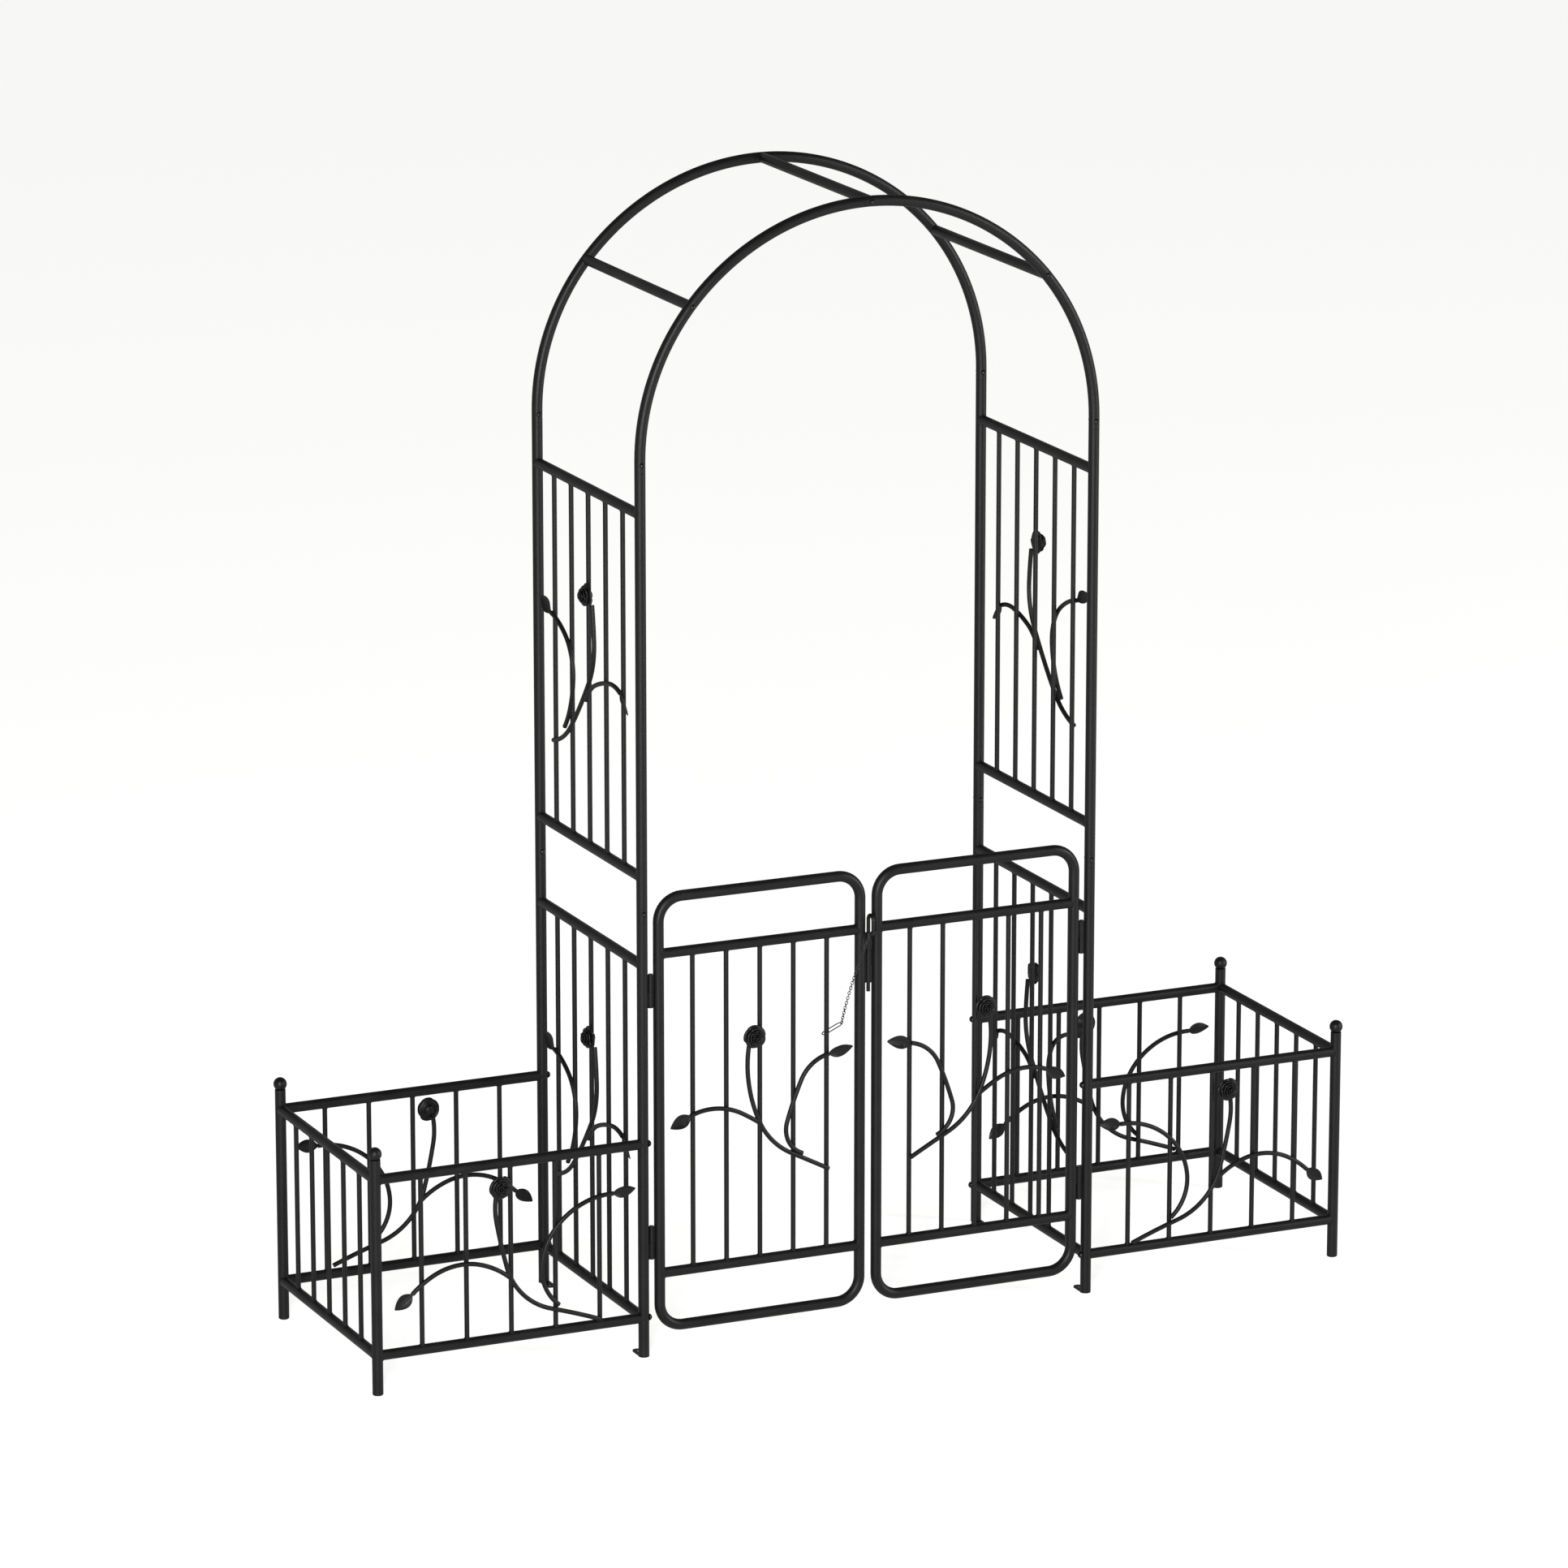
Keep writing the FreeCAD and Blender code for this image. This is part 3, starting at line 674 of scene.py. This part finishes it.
def weldTree():
    # a ring that follows the saddle between a bar (along Z) and the tube under it (along X)
    tree, start, ends = openTree("saddleWeld", [("Bar radius", "NodeSocketFloat", 0.0045),
                                                ("Tube radius", "NodeSocketFloat", 0.0095),
                                                ("Bead radius", "NodeSocketFloat", 0.001),
                                                ("Ripple", "NodeSocketFloat", 0.4),
                                                ("Seed", "NodeSocketFloat", 0.0),
                                                ("Finish", "NodeSocketMaterial", None)])
    ring = addNode(tree, "GeometryNodeCurvePrimitiveCircle", {"Radius": start.outputs["Bar radius"]},
                   None, {"Resolution": 28})
    spot = addNode(tree, "GeometryNodeInputPosition")
    parts = addNode(tree, "ShaderNodeSeparateXYZ", {"Vector": spot.outputs["Position"]})
    times = {"operation": "MULTIPLY"}
    acrossSquare = addNode(tree, "ShaderNodeMath", {0: parts.outputs["Y"], 1: parts.outputs["Y"]}, times)
    tubeR = start.outputs["Tube radius"]
    tubeSquare = addNode(tree, "ShaderNodeMath", {0: tubeR, 1: tubeR}, times)
    left = addNode(tree, "ShaderNodeMath", {0: tubeSquare.outputs[0], 1: acrossSquare.outputs[0]},
                   {"operation": "SUBTRACT"})
    safe = addNode(tree, "ShaderNodeMath", {0: left.outputs[0]}, {"operation": "MAXIMUM"}, {1: 0.0})
    lift = addNode(tree, "ShaderNodeMath", {0: safe.outputs[0]}, {"operation": "SQRT"})
    offset = addNode(tree, "ShaderNodeCombineXYZ", {"Z": lift.outputs[0]})
    saddle = addNode(tree, "GeometryNodeSetPosition", {"Geometry": ring.outputs["Curve"],
                                                       "Offset": offset.outputs["Vector"]})
    noise = addNode(tree, "ShaderNodeTexNoise",
                    {"Vector": spot.outputs["Position"], "W": start.outputs["Seed"]},
                    {"noise_dimensions": "4D"}, {"Scale": 420.0, "Detail": 1.0})
    centred = addNode(tree, "ShaderNodeMath", {0: noise.outputs["Fac"]}, {"operation": "SUBTRACT"}, {1: 0.5})
    swell = addNode(tree, "ShaderNodeMath", {0: centred.outputs[0], 1: start.outputs["Ripple"]},
                    {"operation": "MULTIPLY_ADD"}, {2: 1.0})
    section = addNode(tree, "GeometryNodeCurvePrimitiveCircle", {"Radius": start.outputs["Bead radius"]},
                      None, {"Resolution": 8})
    bead = addNode(tree, "GeometryNodeCurveToMesh", {"Curve": saddle.outputs["Geometry"],
                                                     "Profile Curve": section.outputs["Curve"],
                                                     "Scale": swell.outputs[0]})
    dots = addNode(tree, "GeometryNodeMeshToPoints", {"Mesh": start.outputs["Geometry"]})
    placed = addNode(tree, "GeometryNodeInstanceOnPoints",
                     {"Points": dots.outputs["Points"], "Instance": bead.outputs["Mesh"],
                      "Rotation": readAttribute(tree, "turn")})
    closeTree(tree, ends, placed.outputs["Instances"], start.outputs["Finish"])
    return tree


saddleWeld = weldTree()


def jointPlaces(grille):
    # bar ends on the rails
    solids = islands(grille)
    spans = [np.ptp(points, axis=0) for points in solids]
    rails = [p for p, span in zip(solids, spans) if max(span[0], span[1]) > span[2]]
    bars = [p for p, span in zip(solids, spans) if max(span[0], span[1]) <= span[2]]
    axis = int(np.argmax(np.ptp(rails[0], axis=0)[:2]))
    along = Vector((0, 0, 0))
    along[axis] = 1.0
    levels = sorted(middle(p).z for p in rails)
    barEnds = []
    for bar in bars:
        centre = middle(bar)
        for level, away in zip(levels, (Vector((0, 0, 1)), Vector((0, 0, -1)))):
            spot = Vector((centre.x, centre.y, level))
            barEnds.append((spot, basis(along, away.cross(along), away), (1, 1, 1)))
    return barEnds, rails, along, axis


def railPlaces(rails, along, axis, posts):
    # only the ends that stop at a tube in posts; the tube stands upright
    places = []
    for rail in rails:
        for post in posts:
            spot = Vector((post[0], post[1], middle(rail).z))
            away = along * math.copysign(1.0, middle(rail)[axis] - spot[axis])
            upright = Vector((0, 0, 1))
            places.append((spot, basis(upright, away.cross(upright), away), (1, 1, 1)))
    return places


def postSpots(node):
    found = {}
    for points in islands(node):
        centre = middle(points)
        found[(round(centre.x, 4), round(centre.y, 4))] = True
    return list(found)


def stileSpots(node):
    low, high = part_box(node)
    y = (low.y + high.y) / 2
    radius = (high.y - low.y) / 2
    return [(low.x + radius, y), (high.x - radius, y)]


barWelds = {"frame": [], "left_gate": [], "right_gate": []}
railWelds = {"frame": [], "left_gate": [], "right_gate": []}
for name in sorted(frame["nodes"]):
    if "grille" not in name:
        continue
    body = name[:-len("_grille")] if name.endswith("gate_grille") else "frame"
    barEnds, rails, along, axis = jointPlaces(name)
    barWelds[body] += barEnds
    if body != "frame":
        posts = stileSpots(body + "_frame")
    elif "side_grille" in name:
        side = name.split("_")[-1]
        posts = [spot for face in ("front", "back")
                 for spot in postSpots("lower_post_%s_%s" % (face, side))]
    else:
        side, face = name.split("_")[0], name.split("_")[2]
        posts = postSpots("corner_posts_" + side)
        if face != "end":
            posts = sorted(posts, key=lambda spot: spot[1])
            posts = posts[-1:] if face == "back" else posts[:1]
    railWelds[body] += railPlaces(rails, along, axis, posts)

gateGrille = sorted(islands("left_gate_grille"), key=lambda p: np.ptp(p[:, 0]))
barR = np.ptp(gateGrille[0], axis=0)[0] / 2
railR = np.ptp(gateGrille[-1], axis=0)[2] / 2
postR = np.ptp(islands("corner_posts_left")[0], axis=0)[0] / 2
for body in barWelds:
    for kind, places, inner, outer in (("bar", barWelds[body], barR, railR),
                                       ("rail", railWelds[body], railR, postR)):
        beads = grow(pointsWith("%s_%s_welds" % (body, kind), places), saddleWeld,
                     {"Bar radius": inner + weldLook["stand"] * mm, "Tube radius": outer,
                      "Bead radius": weldLook["bead"] * mm, "Ripple": weldLook["ripple"],
                      "Seed": weldLook["seed"], "Finish": coat})
        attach(beads, body)
print("welds:", sum(map(len, barWelds.values())), "bar ends,", sum(map(len, railWelds.values())), "rail ends")


# ---------- floor, light and camera

def lightPanel(name, location, target, size, power):
    data = bpy.data.lights.new(name, "AREA")
    data.shape = "RECTANGLE"
    data.size, data.size_y = size
    data.energy = power
    lamp = bpy.data.objects.new(name, data)
    bpy.context.scene.collection.objects.link(lamp)
    lamp.location = location
    lamp.rotation_euler = (Vector(target) - Vector(location)).to_track_quat("-Z", "Y").to_euler()


studio = {
    "floor": "#f4f4f3",
    "floorHalf": 45.0,       # metres
    "skyShown": 1.0,         # brightness the camera sees, against what lights the steel
    "floorShown": 0.86,
    "skyLow": 0.34,           # brightness at the horizon and overhead
    "skyHigh": 0.10,
    "floorGlow": 0.16,
    "lens": 186.0,
    "sensor": 36.0,
    "distance": 14.916,
    "azimuth": -24.357,
    "elevation": 14.82,
    "aim": (-0.062, 0.0, 0.982),
}


def forCamera(tree, socket, shown, otherwise):
    # one strength for what the camera sees directly, another for light and reflections
    path = addNode(tree, "ShaderNodeLightPath")
    pick = addNode(tree, "ShaderNodeMix", {"Factor": path.outputs["Is Camera Ray"]}, {"data_type": "FLOAT"},
                   {"B": shown})
    if isinstance(otherwise, float):
        pick.inputs["A"].default_value = otherwise
    else:
        tree.links.new(otherwise, pick.inputs["A"])
    tree.links.new(pick.outputs["Result"], socket)


def paleFloor():
    half = studio["floorHalf"]
    mesh = bpy.data.meshes.new("studioFloor")
    corners = [(-half, -half, 0), (half, -half, 0), (half, half, 0), (-half, half, 0)]
    mesh.from_pydata(corners, [], [(0, 1, 2, 3)])
    floor = bpy.data.objects.new("studioFloor", mesh)
    bpy.context.scene.collection.objects.link(floor)
    paint = bpy.data.materials.new("paleFloorPaint")
    paint.use_nodes = True
    shader = paint.node_tree.nodes["Principled BSDF"]
    shader.inputs["Base Color"].default_value = hexColour(studio["floor"])
    shader.inputs["Roughness"].default_value = 0.9
    shader.inputs["Specular IOR Level"].default_value = 0.1
    shader.inputs["Emission Color"].default_value = hexColour(studio["floor"])
    forCamera(paint.node_tree, shader.inputs["Emission Strength"], studio["floorShown"], studio["floorGlow"])
    mesh.materials.append(paint)


paleFloor()


def studioSky():
    # a white cyclorama that falls off overhead, so upper faces stay dark
    world = bpy.data.worlds.new("studioSky")
    bpy.context.scene.world = world
    world.use_nodes = True
    tree = world.node_tree
    background = tree.nodes["Background"]
    background.inputs["Color"].default_value = hexColour("#ffffff")
    direction = addNode(tree, "ShaderNodeTexCoord")
    parts = addNode(tree, "ShaderNodeSeparateXYZ", {"Vector": direction.outputs["Generated"]})
    level = addNode(tree, "ShaderNodeMapRange", {"Value": parts.outputs["Z"]},
                    {"interpolation_type": "SMOOTHSTEP"},
                    {"From Min": 0.05, "From Max": 0.75,
                     "To Min": studio["skyLow"], "To Max": studio["skyHigh"]})
    forCamera(tree, background.inputs["Strength"], studio["skyShown"], level.outputs["Result"])


studioSky()
softboxes = {  # place, aim, width and height in metres, watts
    "frontSoftbox": ((-5.0, -8.0, 3.0), (0, 0, 1.0), (1.6, 5.0), 520),
    "rightSoftbox": ((7.0, -5.0, 3.0), (0, 0, 1.0), (1.2, 5.0), 260),
}
for name, softbox in softboxes.items():
    lightPanel(name, *softbox)


def photographersCamera():
    data = bpy.data.cameras.new("camera")
    data.lens = studio["lens"]
    data.sensor_width = studio["sensor"]
    camera = bpy.data.objects.new("camera", data)
    bpy.context.scene.collection.objects.link(camera)
    azimuth, elevation = math.radians(studio["azimuth"]), math.radians(studio["elevation"])
    away = Vector((math.sin(azimuth) * math.cos(elevation), -math.cos(azimuth) * math.cos(elevation),
                   math.sin(elevation)))
    aim = Vector(studio["aim"])
    camera.location = aim + away * studio["distance"]
    camera.rotation_euler = (-away).to_track_quat("-Z", "Y").to_euler()
    data.clip_end = 200
    bpy.context.scene.camera = camera


photographersCamera()
bpy.context.scene.view_settings.view_transform = "Standard"
for thing in masters:
    bpy.data.objects.remove(thing)
print("studio done")
